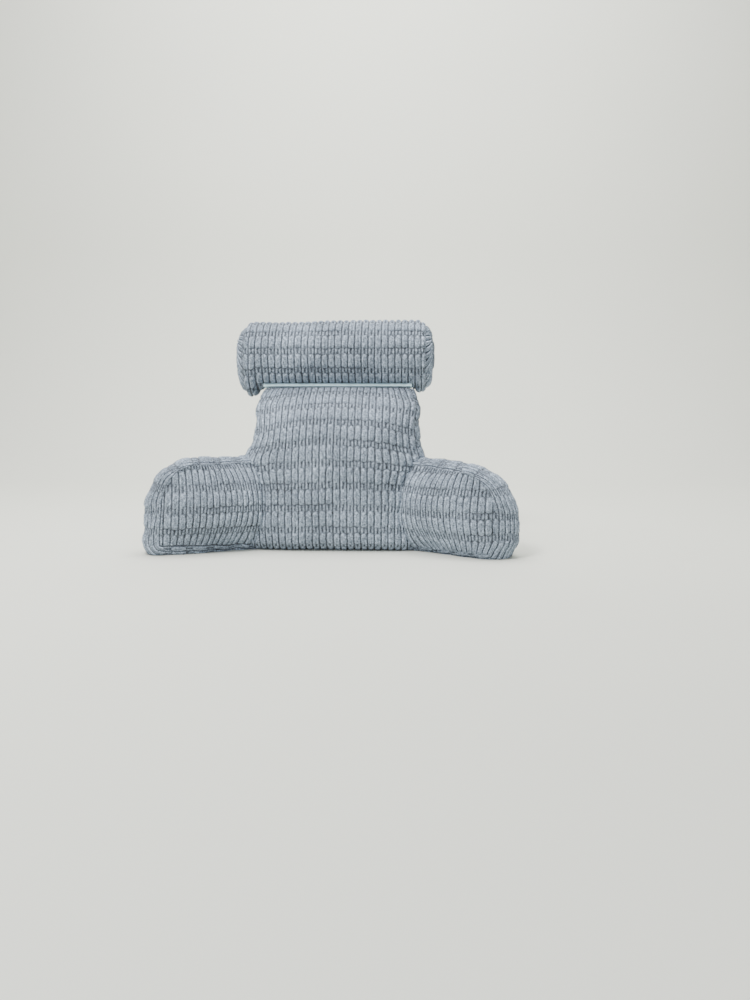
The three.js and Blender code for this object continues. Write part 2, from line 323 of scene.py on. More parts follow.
@dataclass
class RibGroup:
    """The node group that raises the plush's ribs out of a smooth cushion and gives it its finish."""

    weave: PlushWeave
    seam_depth: float = 0.9
    seam_range: Pair = (0.72, 1.0)
    seam_draw: float = 0.45
    slack_scale: float = 13.0
    tuft_scale: float = 190.0
    tuft_height: float = 3.6

    def __post_init__(self) -> None:
        """Builds the group and its named inputs."""
        self.tree = bpy.data.node_groups.new("plush ribs", "GeometryNodeTree")
        face = self.tree.interface
        face.new_socket(name="Geometry", in_out="INPUT", socket_type="NodeSocketGeometry")
        kinds = dict.fromkeys(("Pile Height", "Seam Depth", "Slack", "Seed"), "NodeSocketFloat")
        self.sockets = {
            name: face.new_socket(name=name, in_out="INPUT", socket_type=kind).identifier
            for name, kind in (kinds | {"Finish": "NodeSocketMaterial"}).items()
        }
        face.new_socket(name="Geometry", in_out="OUTPUT", socket_type="NodeSocketGeometry")
        self.wire()

    def wire(self) -> None:
        """Joins the group's nodes."""
        wires = Wires(self.tree)
        given = wires.add("NodeGroupInput").outputs
        cloth, seam = (
            wires.add("GeometryNodeInputNamedAttribute", {"Name": name}, data_type=kind).outputs[0]
            for name, kind in ((CLOTH_MAP, "FLOAT_VECTOR"), (SEAM, "FLOAT"))
        )
        drawn = wires.step(seam, *self.seam_range)
        free = wires.fit(drawn, -self.seam_draw, 1.0)
        height = wires.times(self.weave.pattern(wires, cloth)["height"], free)
        place = wires.vector("ADD", wires.add("GeometryNodeInputPosition").outputs[0], given["Seed"])
        slack = wires.math("SUBTRACT", wires.noise(place, self.slack_scale, 1.0), 0.5)
        tuft = wires.math("SUBTRACT", wires.noise(place, self.tuft_scale, 1.0), 0.5)
        raised = wires.times(wires.math("SUBTRACT", height, 0.5), given["Pile Height"])
        sunk = wires.times(drawn, given["Seam Depth"])
        loose = wires.times(wires.times(slack, given["Slack"]), free)
        rough = wires.times(wires.times(tuft, height), self.tuft_height * MILLIMETRE)
        out = wires.math("ADD", wires.math("SUBTRACT", raised, sunk), wires.math("ADD", loose, rough))
        offset = wires.vector("SCALE", wires.add("GeometryNodeInputNormal").outputs[0], out)
        cover = given["Geometry"]
        for kind, extra in (
            ("GeometryNodeSetPosition", {"Offset": offset}),
            ("GeometryNodeRealizeInstances", {}),
            ("GeometryNodeSetMaterial", {"Material": given["Finish"]}),
        ):
            cover = wires.add(kind, {"Geometry": cover, **extra}).outputs["Geometry"]
        wires.add("NodeGroupOutput", {"Geometry": cover})

    def raise_on(self, piece: Piece, finish: Material, seed: float, slack: float) -> None:
        """Raises the ribs on a piece.

        Args:
            piece: A smooth cushion with its cloth map and seams.
            finish: The plush.
            seed: Shifts the random parts.
            slack: How much the cloth undulates, in millimetres.
        """
        modifier = piece.modifiers.new("ribs", "NODES")
        modifier.node_group = self.tree
        for name, value in (
            ("Pile Height", PILE_HEIGHT * MILLIMETRE),
            ("Seam Depth", self.seam_depth * MILLIMETRE),
            ("Slack", slack * MILLIMETRE),
            ("Seed", seed),
            ("Finish", finish),
        ):
            modifier[self.sockets[name]] = value
        settle_mesh(piece)


def add_object(name: str, data: bpy.types.ID) -> Piece:
    """Adds an object to the scene.

    Args:
        name: Its name.
        data: Its mesh, light or camera.

    Returns:
        The new object.
    """
    added = bpy.data.objects.new(name, data)
    bpy.context.scene.collection.objects.link(added)
    return added


def settle_mesh(piece: Piece) -> None:
    """Turns a piece with modifiers into a plain mesh.

    Args:
        piece: The piece, whose modifiers are applied and removed.
    """
    shaped = piece.evaluated_get(bpy.context.evaluated_depsgraph_get())
    mesh = bpy.data.meshes.new_from_object(shaped)
    old = piece.data
    piece.modifiers.clear()
    piece.data = mesh
    mesh.name = piece.name
    bpy.data.meshes.remove(old)


def read_rows(items: bpy.types.bpy_prop_collection, key: str = "co", width: int = 3) -> np.ndarray:
    """Reads a value of every point of a mesh.

    Args:
        items: The points, or the values of an attribute.
        key: Which value is read.
        width: How many numbers it has.

    Returns:
        One row for each point.
    """
    flat = np.empty(len(items) * width)
    items.foreach_get(key, flat)
    return flat.reshape(-1, width)


def move_points(piece: Piece, points: np.ndarray) -> None:
    """Writes a piece's points, one row for each, in metres."""
    piece.data.vertices.foreach_set("co", points.ravel())
    piece.data.update()


@dataclass(frozen=True)
class Finish:
    """A procedural finish. Each kind paints its own colour and relief."""

    title: str = "finish"
    roughness: float = 0.9
    specular: float = 0.15
    sheen: float = 0.0
    sheen_roughness: float = 0.5
    sheen_tint: Rgba = (1.0, 1.0, 1.0, 1.0)
    bump_strength: float = 1.0
    bump_distance: float = 1.0

    def paint(self, wires: Wires) -> tuple[Socket, Socket | None]:
        """Draws the colour and the height of the relief, which is None on a flat finish."""
        raise NotImplementedError

    def make(self) -> Material:
        """Builds the material.

        Returns:
            The material.
        """
        material = bpy.data.materials.new(self.title)
        material.use_nodes = True
        wires = Wires(material.node_tree)
        colour, relief = self.paint(wires)
        given = {
            "Base Color": colour,
            "Roughness": self.roughness,
            "Specular IOR Level": self.specular,
            "Sheen Weight": self.sheen,
            "Sheen Roughness": self.sheen_roughness,
            "Sheen Tint": self.sheen_tint,
        }
        if relief is not None:
            bump = {"Strength": self.bump_strength, "Distance": self.bump_distance, "Height": relief}
            given["Normal"] = wires.add("ShaderNodeBump", bump).outputs[0]
        wires.feed(material.node_tree.nodes["Principled BSDF"], given)
        return material


@dataclass(frozen=True)
class Plush(Finish):
    """The plush's finish: pale pile tips and darker roots, colours that paint shade into the grooves and low
    bands; a painted highlight on the ribs; and a nap that brushing left uneven.

    A tone is the spread and the least of what a pattern multiplies the colour by. Reliefs are metres.
    """

    title: str = "ribbed plush"
    roughness: float = 0.95
    specular: float = 0.1
    sheen: float = 0.12
    sheen_roughness: float = 0.45
    sheen_tint: Rgba = (0.86, 0.92, 1.0, 1.0)
    bump_strength: float = 0.8
    weave: PlushWeave = PlushWeave()
    # Painted shade: the colour darkens from the tips through the low bands to the roots, with the depth of
    # the relief.
    root: Triple = (0.104, 0.115, 0.134)
    low: Triple = (0.188, 0.222, 0.272)
    tip: Triple = (0.292, 0.347, 0.425)
    low_rise: Pair = (-0.02, 0.36)
    tip_rise: Pair = (0.28, 0.72)
    # How near the seams and how much the pile is lowered, which the colour shows as painted shade along the
    # seams.
    seam_range: Pair = (0.8, 1.0)
    seam_draw: float = 0.2
    pile_relief: float = 0.0022
    mottle_relief: float = 0.0045
    fibre_relief: float = 0.0028
    nap_turn: float = 0.75
    nap_stretch: float = 0.45
    broad_scale: float = 9.0
    broad_range: Pair = (0.3, 0.7)
    broad_tone: Pair = (0.24, 0.86)
    patch_scale: float = 30.0
    patch_tone: Pair = (0.3, 0.85)
    lot_tone: Pair = (0.10, 0.95)
    mottle_scale: float = 190.0
    mottle_rough: float = 0.6
    mottle_tone: Pair = (1.9, 0.05)
    fibre_scale: float = 300.0
    fibre_rough: float = 0.75
    fibre_tone: Pair = (3.4, -0.7)
    # Painted highlight: the tone that the pattern's light output gives.
    light_tone: Pair = (0.50, 0.84)

    def paint(self, wires: Wires) -> tuple[Socket, Socket]:
        """Draws the plush.

        Args:
            wires: The material's nodes.

        Returns:
            The colour and the height of the relief.
        """
        cloth = wires.add("ShaderNodeUVMap", uv_map=CLOTH_MAP).outputs[0]
        seam = wires.add("ShaderNodeAttribute", attribute_name=SEAM).outputs["Fac"]
        pattern = self.weave.pattern(wires, cloth)
        # Lowering the pile along the seams darkens them through the painted shade of the relief.
        free = wires.fit(wires.step(seam, *self.seam_range), -self.seam_draw, 1.0)
        height = wires.times(pattern["height"], free)
        place = wires.add("ShaderNodeTexCoord").outputs["Object"]
        nap = {"Vector": cloth, "Rotation": (0, 0, self.nap_turn), "Scale": (1, self.nap_stretch, 1)}
        slant = wires.add("ShaderNodeMapping", nap).outputs[0]
        mottle = wires.noise(slant, self.mottle_scale, rough=self.mottle_rough)
        fibre = wires.noise(place, self.fibre_scale, rough=self.fibre_rough)
        # Painted shade: deeper parts of the relief get the darker colours.
        colour = wires.blend(wires.step(height, *self.low_rise), (*self.root, 1), (*self.low, 1))
        colour = wires.blend(wires.step(height, *self.tip_rise), colour, (*self.tip, 1))
        tone = 1.0
        # The broad, patch, lot, mottle and fibre tones vary at random; the light tone paints the highlight.
        for value, spread_and_least in (
            (wires.step(wires.noise(place, self.broad_scale), *self.broad_range), self.broad_tone),
            (wires.noise(place, self.patch_scale), self.patch_tone),
            (pattern["lot"], self.lot_tone),
            (mottle, self.mottle_tone),
            (fibre, self.fibre_tone),
            (pattern["light"], self.light_tone),
        ):
            tone = wires.times(tone, wires.fit(value, *spread_and_least))
        relief = wires.fit(fibre, self.fibre_relief, wires.times(mottle, self.mottle_relief))
        return wires.vector("SCALE", colour, tone), wires.fit(height, self.pile_relief, relief)


@dataclass(frozen=True)
class Tape(Finish):
    """The finish of the woven band: a fine plain weave in pale blue."""

    title: str = "woven tape"
    roughness: float = 0.75
    specular: float = 0.25
    sheen: float = 0.15
    bump_strength: float = 0.42
    bump_distance: float = 0.0004
    colour: Triple = (0.68, 0.93, 1.0)
    threads_per_metre: float = 900.0
    thread_tone: float = 0.05
    wear_scale: float = 70.0
    wear_detail: float = 3.0
    wear_tone: Pair = (0.4, 0.8)

    def paint(self, wires: Wires) -> tuple[Socket, Socket]:
        """Draws the tape.

        Args:
            wires: The material's nodes.

        Returns:
            The colour and the height of the relief.
        """
        cloth = wires.add("ShaderNodeUVMap", uv_map=CLOTH_MAP).outputs[0]
        parts = wires.add("ShaderNodeSeparateXYZ", {0: cloth}).outputs
        turn = 2 * math.pi * self.threads_per_metre
        weave = wires.times(*(wires.math("SINE", wires.times(parts[n], turn)) for n in (0, 1)))
        place = wires.add("ShaderNodeTexCoord").outputs["Object"]
        worn = wires.fit(wires.noise(place, self.wear_scale, self.wear_detail), *self.wear_tone)
        return wires.vector("SCALE", self.colour, wires.fit(weave, self.thread_tone, worn)), weave


@dataclass(frozen=True)
class Paper(Finish):
    """The finish of the studio's seamless sheet."""

    title: str = "studio paper"
    colour: Triple = (0.80, 0.812, 0.740)
    shade_scale: float = 1.3
    shade_tone: Pair = (0.05, 0.975)

    def paint(self, wires: Wires) -> tuple[Socket, None]:
        """Draws the paper.

        Args:
            wires: The material's nodes.

        Returns:
            The colour, and no relief.
        """
        place = wires.add("ShaderNodeTexCoord").outputs["Object"]
        shade = wires.fit(wires.noise(place, self.shade_scale), *self.shade_tone)
        return wires.vector("SCALE", self.colour, shade), None


@dataclass
class Sewn:
    """A sewn piece: the closed skin of a box of cells, with a patch of cloth on every cell."""

    name: str
    node: str
    counts: Cell

    def place(self, cell: Cell) -> Vector:
        """Gives the point of a cell corner in the pillow's layout."""
        raise NotImplementedError

    def cloth(self, side: Side, cell: Cell, cells: Sequence[Cell]) -> Pair:
        """Gives where a corner of a cell lies on the cloth, across and along the ribs."""
        raise NotImplementedError

    def is_seam(self, cell: Cell) -> bool:
        """Tells whether a cell corner lies on a seam, and none does unless a kind of piece says so."""
        return False

    def faces(self) -> list[tuple[Side, tuple[Cell, ...]]]:
        """Lists the skin's cells.

        Returns:
            The side of each cell and its four corners in order.
        """
        across, up, deep = self.counts
        found: list[tuple[Side, tuple[Cell, ...]]] = []
        for i in range(across):
            for j in range(up):
                found.append((Side.FRONT, ((i, j, 0), (i + 1, j, 0), (i + 1, j + 1, 0), (i, j + 1, 0))))
                k = deep
                found.append((Side.REAR, ((i, j, k), (i, j + 1, k), (i + 1, j + 1, k), (i + 1, j, k))))
            for k in range(deep):
                found.append((Side.BOTTOM, ((i, 0, k), (i, 0, k + 1), (i + 1, 0, k + 1), (i + 1, 0, k))))
                j = up
                found.append((Side.TOP, ((i, j, k), (i + 1, j, k), (i + 1, j, k + 1), (i, j, k + 1))))
        for j in range(up):
            for k in range(deep):
                found.append((Side.LEFT, ((0, j, k), (0, j + 1, k), (0, j + 1, k + 1), (0, j, k + 1))))
                i = across
                found.append((Side.RIGHT, ((i, j, k), (i, j, k + 1), (i, j + 1, k + 1), (i, j + 1, k))))
        return found

    def sew(self, shift: Vector) -> Piece:
        """Builds the skin as a mesh with its cloth map and seams.

        Args:
            shift: From the pillow's layout to the frame, in metres.

        Returns:
            The new object.
        """
        faces = self.faces()
        corners = list(dict.fromkeys(cell for _, cells in faces for cell in cells))
        number = {cell: n for n, cell in enumerate(corners)}
        points = [self.place(cell) * MILLIMETRE + shift for cell in corners]
        index = [[number[cell] for cell in cells] for _, cells in faces]
        middle = sum(points, Vector()) / len(points)
        volume = sum(
            (points[a] - middle).dot((points[b] - middle).cross(points[c] - middle))
            + (points[a] - middle).dot((points[c] - middle).cross(points[d] - middle))
            for a, b, c, d in index
        )
        if volume < 0:
            faces = [(side, tuple(reversed(cells))) for side, cells in faces]
            index = [list(reversed(ring)) for ring in index]
        mesh = bpy.data.meshes.new(self.name)
        mesh.from_pydata(points, [], index)
        spots = [
            value * MILLIMETRE
            for side, cells in faces
            for cell in cells
            for value in self.cloth(side, cell, cells)
        ]
        mesh.uv_layers.new(name=CLOTH_MAP).uv.foreach_set("vector", spots)
        seam = mesh.attributes.new(SEAM, "FLOAT", "POINT")
        seam.data.foreach_set("value", [float(self.is_seam(cell)) for cell in corners])
        mesh.shade_smooth()
        return add_object(self.name, mesh)


@dataclass(frozen=True)
class Filling:
    """What the filling does to a cover: it presses the cloth out between the seams, which draw in."""

    pressure: float = 4.0
    frames: int = 20
    cap: float = 4.5
    seam_shrink: float = 0.05
    resting_height: float = 12.0
    quality: int = 5
    mass: float = 0.3
    stiffness: float = 12.0
    bending: float = 0.4

    def swell(self, piece: Piece) -> None:
        """Lets the filling press a piece's cover out.

        Args:
            piece: The cover, still coarse.
        """
        before = read_rows(piece.data.vertices)
        seams = read_rows(piece.data.attributes[SEAM].data, "value", 1)
        resting = before[:, 2] < self.resting_height * MILLIMETRE
        for name, chosen in (("drawn in", seams[:, 0] > 0.5), ("resting", resting)):
            group = piece.vertex_groups.new(name=name)
            group.add([int(n) for n in np.flatnonzero(chosen)], 1.0, "REPLACE")
        modifier = piece.modifiers.new("filling", "CLOTH")
        cloth = modifier.settings
        cloth.quality = self.quality
        cloth.mass = self.mass
        cloth.tension_stiffness = cloth.compression_stiffness = self.stiffness
        cloth.shear_stiffness = self.stiffness / 2
        cloth.bending_stiffness = self.bending
        cloth.use_pressure = True
        cloth.uniform_pressure_force = self.pressure
        cloth.vertex_group_mass = "resting"
        cloth.vertex_group_shrink = "drawn in"
        cloth.shrink_min = 0.0
        cloth.shrink_max = self.seam_shrink
        cloth.effector_weights.gravity = 0.0
        modifier.collision_settings.use_collision = False
        scene = bpy.context.scene
        for number in range(1, self.frames + 1):
            scene.frame_set(number)
        shaped = piece.evaluated_get(bpy.context.evaluated_depsgraph_get())
        step = read_rows(shaped.to_mesh().vertices) - before
        shaped.to_mesh_clear()
        piece.modifiers.clear()
        piece.vertex_groups.clear()
        scene.frame_set(1)
        if not resting.any():
            step -= step.mean(axis=0)
        reach = np.linalg.norm(step, axis=1, keepdims=True)
        cap = self.cap * MILLIMETRE
        move_points(piece, before + step * (cap * np.tanh(reach / cap) / np.maximum(reach, 1e-9)))
        LOG.info("%s: filling moved it by up to %.1f mm", piece.name, float(reach.max()) / MILLIMETRE)


@dataclass
class Cushion(Sewn):
    """A filled cushion in ribbed plush. Each kind gives its own form, cloth and seams."""

    fullness: float = 0.8
    slack: float = 5.0
    seed: float = 0.0
    smoothing: int = 2
    filling: Filling = Filling()

    def rest(self, points: np.ndarray) -> np.ndarray:
        """Keeps the cushion's points, which are in millimetres in the pillow's layout, above the floor."""
        points[:, 2] = np.maximum(points[:, 2], ABOVE_FLOOR)
        return points

    def make(self, ribs: RibGroup, finish: Material, shift: Vector) -> Piece:
        """Builds the cushion: its cover, its filling, its ribs and its rest.

        Args:
            ribs: Raises the ribs.
            finish: The plush.
            shift: From the pillow's layout to the frame, in metres.

        Returns:
            The finished object.
        """
        piece = self.sew(shift)
        self.filling.swell(piece)
        finer = piece.modifiers.new("finer", "SUBSURF")
        finer.levels = finer.render_levels = self.smoothing
        settle_mesh(piece)
        ribs.raise_on(piece, finish, self.seed, self.slack)
        offset = np.array(shift)
        layout = (read_rows(piece.data.vertices) - offset) / MILLIMETRE
        move_points(piece, self.rest(layout) * MILLIMETRE + offset)
        return piece


@dataclass
class Back(Cushion):
    """The back: a deep wedge whose front is upright behind the waist and leans back to the neck."""

    height: float = 418.0
    front_line: Line = Line(
        ((0, -2), (60, -4), (130, -5), (210, -4), (270, 2), (323, 16), (366, 45), (400, 82), (418, 108))
    )
    half_width: Line = Line(
        ((0, 212), (100, 218), (180, 227), (232, 234), (268, 221))
        + ((302, 213), (335, 212), (373, 216), (395, 210), (418, 196))
    )
    base_half: float = 212.0
    rear_lean: float = 0.227
    base_depth: float = 180.0
    front_crown: float = 8.0
    rear_crown: float = 12.0
    corner_power: float = 7.0
    side_thinning: float = 0.42
    foot_thinning: float = 0.14
    thinning_rise: Pair = (15.0, 110.0)
    neck_shift: float = 7.0
    neck_rise: Pair = (235.0, 300.0)
    side_power: float = 7.0
    side_crown: float = 9.0
    side_crown_power: int = 4
    straight_share: float = 0.45
    edge_gather: float = 0.042
    top_swell: float = 7.0
    top_swell_from: float = 0.9
    corner_swell: float = 0.8
    corner_swell_power: int = 6
    rib_offset: float = -2.75
    low_droop: float = 9.0
    high_droop: float = 34.0
    droop_rise: Pair = (150.0, 300.0)
    droop_power: float = 2.2
    first_row: float = 55.0
    row_stretch: float = 0.964
    low_stretch: float = 1.25
    left_cloth: float = 2000.0
    right_cloth: float = 4000.0
    lip_depth: float = 149.0
    lip: float = 420.5

    def __post_init__(self) -> None:
        """Measures the cloth round the back's middle."""
        across, up, deep = self.counts
        middle = across // 2
        run = [self.place((middle, j, 0)) for j in range(up + 1)]
        self.front_run = lengths(run, run[0].z)
        over = [self.place((middle, up, k)) for k in range(deep + 1)]
        self.top_run = lengths(over, self.front_run[-1])
        down = [self.place((middle, j, deep)) for j in range(up, -1, -1)]
        self.rear_run = lengths(down, self.top_run[-1])[::-1]
        under = [self.place((middle, 0, k)) for k in range(deep + 1)]
        self.base_run = [2 * self.front_run[0] - length for length in lengths(under, self.front_run[0])]

    def place(self, cell: Cell) -> Vector:
        """Gives the point of a cell corner in the pillow's layout.

        Args:
            cell: The corner.

        Returns:
            The point, in millimetres.
        """
        u, v, w = (2 * n / count - 1 for n, count in zip(cell, self.counts))
        u *= 1 + self.edge_gather * (1 - u * u)
        size = (abs(w) ** self.corner_power + abs(v) ** self.corner_power) ** (1 / self.corner_power)
        reach = max(abs(w), abs(v))
        depth, rise = (w * reach / size, v * reach / size) if size else (0.0, 0.0)
        height = self.height / 2 * (1 + rise)
        front = self.front_line.at(height)
        rear = self.base_depth + self.rear_lean * height
        thinning = mix(self.foot_thinning, self.side_thinning, smooth(height, *self.thinning_rise))
        thin = 1 - thinning * abs(u) ** self.side_power
        swell = (1 - rise * rise) * (1 - u * u)
        crown = swell * (-self.front_crown if depth < 0 else self.rear_crown)
        spread = smooth(abs(u), self.straight_share, 1) * (self.half_width.at(height) - self.base_half)
        is_side = cell[0] in (0, self.counts[0])
        side_crown = self.side_crown * (1 - depth * depth) * (1 - rise**self.side_crown_power)
        swollen_corner = 1 + self.corner_swell * abs(u) ** self.corner_swell_power
        lift = self.top_swell * smooth(rise, self.top_swell_from, 1) * swollen_corner
        return Vector(
            (
                math.copysign(1, u) * (abs(u) * self.base_half + spread + (side_crown if is_side else 0))
                + self.neck_shift * smooth(height, *self.neck_rise) * u * u,
                (front + rear) / 2 + depth * thin * (rear - front) / 2 + crown * abs(depth),
                height + lift,
            )
        )

    def cloth(self, side: Side, cell: Cell, cells: Sequence[Cell]) -> Pair:
        """Gives where a corner of a cell lies on the cloth.

        Args:
            side: The side of the cell.
            cell: The corner.
            cells: All the cell's corners.

        Returns:
            Millimetres across and along the ribs.
        """
        i, j, k = cell
        if side in (Side.LEFT, Side.RIGHT):
            point = self.place(cell)
            return point.y + (self.left_cloth if side is Side.LEFT else self.right_cloth), point.z
        edge = abs(2 * i / self.counts[0] - 1) ** self.droop_power
        across = i * HALF_RIB - self.rib_offset
        if side is Side.FRONT:
            droop = mix(self.low_droop, self.high_droop, smooth(self.place(cell).z, *self.droop_rise))
            return across, self.row(self.front_run[j]) + droop * edge
        if side is Side.TOP:
            return across, self.row(self.top_run[k]) + self.high_droop * edge * (1 - k / self.counts[2])
        if side is Side.REAR:
            return across, self.row(self.rear_run[j])
        return across, self.row(self.base_run[k]) + self.low_droop * edge

    def row(self, run: float) -> float:
        """Turns a distance over the back into one along the cloth, which the filling stretches a little."""
        above = run - self.first_row
        return ROW_PITCH + above * (self.row_stretch if above > 0 else self.low_stretch)

    def is_seam(self, cell: Cell) -> bool:
        """Tells whether a cell corner lies on the outline of either side panel."""
        i, j, k = cell
        return i in (0, self.counts[0]) and (j in (0, self.counts[1]) or k in (0, self.counts[2]))

    def rest(self, points: np.ndarray) -> np.ndarray:
        """Rests the back on the floor and flattens it under the roll.

        Args:
            points: Points in the pillow's layout, in millimetres.

        Returns:
            The points at rest.
        """
        points = super().rest(points)
        ceiling = np.where(points[:, 1] < self.lip_depth, self.lip, TOP_OF_BACK)
        points[:, 2] = np.minimum(points[:, 2], ceiling)
        return points


@dataclass
class Arm(Cushion):
    """An arm: two D-shaped panels round a wide gusset whose ribs follow the outline."""

    side: int = 1
    root_x: float = 219.0
    root_y: float = -10.0
    splay: float = 26.0
    length: float = 211.0
    seam_top: float = 224.0
    tip_radius: float = 86.0
    slump: float = 18.0
    root_length: float = 64.0
    seam_root: float = 10.0
    seam_tip: float = 12.0
    gusset_width: float = 110.0
    top_width: float = 124.0
    tip_crown: float = 38.0
    top_crown: float = 18.0
    root_crown: float = 8.0
    face_crown: float = 30.0
    crown_power: float = 2.4
    gusset_power: float = 2.6
    edge_share: float = 0.34
    root_bow: float = 19.0
    foot_bow: float = 32.0
    bow_length: float = 170.0
    rib_bow: float = 30.0
    rib_bow_share: float = 0.3
    gathering: float = 0.2
    foot: float = -22.0
    foot_height: float = 50.0
    foot_power: int = 4
    rear_drop: float = 8.0
    lean: float = 0.05
    lean_height: float = 100.0
    crumple: float = 3.0
    crumple_length: float = 62.0
    row_start: float = -6.0
    rib_offset: float = 0.0
    top_spread: float = 0.3
    top_spread_until: float = 0.6
    cloth_start: float = 9000.0
    rear_cloth: float = 700.0
    gusset_cloth: float = 1400.0

    def __post_init__(self) -> None:
        """Measures the gusset from the tip's foot up over the tip and back to the root."""
        across, up, _ = self.counts
        outline = [self.seam_point(i, up) for i in range(across, -1, -1)]
        steps = (math.dist(a, b) for a, b in zip(outline, outline[1:]))
        self.top_run = list(accumulate(steps, initial=outline[0][1]))[::-1]

    def seam_point(self, i: int, j: int) -> Pair:
        """Gives a point of a panel in its own plane.

        Args:
            i: The line along the arm.
            j: The row up the arm.

        Returns:
            Distance from the root and height, in millimetres.
        """
        share = j / self.counts[1]
        run = i / self.counts[0]
        straight = mix(-self.root_length, self.length, run - self.gathering * run * (1 - run))
        near = 1 - smooth(straight, -self.root_length, self.length)
        along = straight + self.rib_bow * (2 * share - 1) ** 2 * near * smooth(run, 0, self.rib_bow_share)
        top, _ = self.top_at(along)
        bottom = mix(self.seam_root, self.seam_tip, smooth(along, 0, self.length))
        bottom += self.crumple * near * math.sin(2 * math.pi * along / self.crumple_length)
        level = mix(bottom, top, share)
        foot = self.foot * (1 - smooth(level, 0, self.foot_height)) * run**self.foot_power
        return along + foot, level

    def top_at(self, along: float) -> Pair:
        """Reads the upper seam.

        Args:
            along: Distance from the root.

        Returns:
            Its height, and how far it has turned down towards the tip, from 0 to 1.
        """
        bend = min(max(along - (self.length - self.tip_radius), 0.0), self.tip_radius)
        slump = self.slump * smooth(along, 0, self.length)
        top = self.seam_top - self.tip_radius + math.sqrt(self.tip_radius**2 - bend**2) - slump
        return top, bend / self.tip_radius

    def outward(self, cell: Cell, along: float) -> Vector:
        """Gives the direction out of the outline in the panel's plane.

        Args:
            cell: A corner on the gusset.
            along: Its distance from the root.

        Returns:
            A unit vector: along the arm, across it (none) and up.
        """
        out = Vector()
        if cell[1] == self.counts[1]:
            _, bend = self.top_at(along)
            out += Vector((bend, 0, math.sqrt(1 - bend**2)))
        if cell[1] == 0:
            out.z -= 1
        if cell[0] == self.counts[0]:
            out.x += 1
        if cell[0] == 0:
            out.x -= 1
        return out.normalized()

    def place(self, cell: Cell) -> Vector:
        """Gives the point of a cell corner in the pillow's layout.

        Args:
            cell: The corner.

        Returns:
            The point, in millimetres.
        """
        i, j, k = cell
        share, cross = j / self.counts[1], 2 * k / self.counts[2] - 1
        cross *= 1 + self.edge_share * (1 - abs(cross))
        along, level = self.seam_point(i, j)
        local = Vector((along, cross * self.gusset_width / 2, level))
        if self.is_rim(cell):
            out = self.outward(cell, along)
            upward = max(out.z, 0.0)
            full = self.root_crown if out.x < 0 else self.tip_crown
            rise = mix(full, self.top_crown, upward) * (1 - abs(cross) ** self.gusset_power)
            local.y = cross * mix(self.gusset_width, self.top_width, upward) / 2
            local += out * rise
        else:
            across = (along + self.root_length) / (self.length + self.root_length)
            u = min(abs(2 * across - 1), 1.0) ** self.crown_power
            local.y += math.copysign(1, cross) * self.face_crown * (1 - u) * (1 - (2 * share - 1) ** 2)
        bow = (self.root_bow if share > 0.5 else self.foot_bow) * (2 * share - 1) ** 2
        local.y += bow * (1 - smooth(along, 0, self.bow_length)) * (1 - cross) / 2
        local.z -= self.rear_drop * share * (1 + cross) / 2
        lean = self.lean * (1 - min(max(along / self.length, 0.0), 1.0))
        deep = local.y + self.gusset_width / 2 + lean * (local.z - self.lean_height)
        turn = math.radians(self.splay)
        return Vector(
            (
                self.side * (self.root_x + math.cos(turn) * local.x + math.sin(turn) * deep),
                self.root_y - math.sin(turn) * local.x + math.cos(turn) * deep,
                local.z,
            )
        )

    def is_rim(self, cell: Cell) -> bool:
        """Tells whether a cell corner lies on the gusset, which runs round the outline."""
        return cell[1] in (0, self.counts[1]) or cell[0] in (0, self.counts[0])

    def cloth(self, side: Side, cell: Cell, cells: Sequence[Cell]) -> Pair:
        """Gives where a corner of a cell lies on the cloth.

        Args:
            side: The side of the cell.
            cell: The corner.
            cells: All the cell's corners.

        Returns:
            Millimetres across and along the ribs.
        """
        i, j, k = cell
        along, level = self.seam_point(i, j)
        if side in (Side.FRONT, Side.REAR):
            ribs = self.cloth_start + i * HALF_RIB - self.rib_offset
            return ribs + (0 if side is Side.FRONT else self.rear_cloth), level - self.row_start
        ribs = self.cloth_start + self.gusset_cloth + k * HALF_RIB
        if side is Side.TOP:
            spread = self.top_spread * (1 - smooth(i / self.counts[0], self.top_spread_until, 1))
            return ribs - spread * (k - self.counts[2] / 2) * HALF_RIB, self.top_run[i] - self.row_start
        if side is Side.BOTTOM:
            return ribs, self.seam_tip - (self.length - along) - self.row_start
        return ribs, level - self.row_start

    def is_seam(self, cell: Cell) -> bool:
        """Tells whether a cell corner lies between a panel and the gusset."""
        return self.is_rim(cell) and cell[2] in (0, self.counts[2])


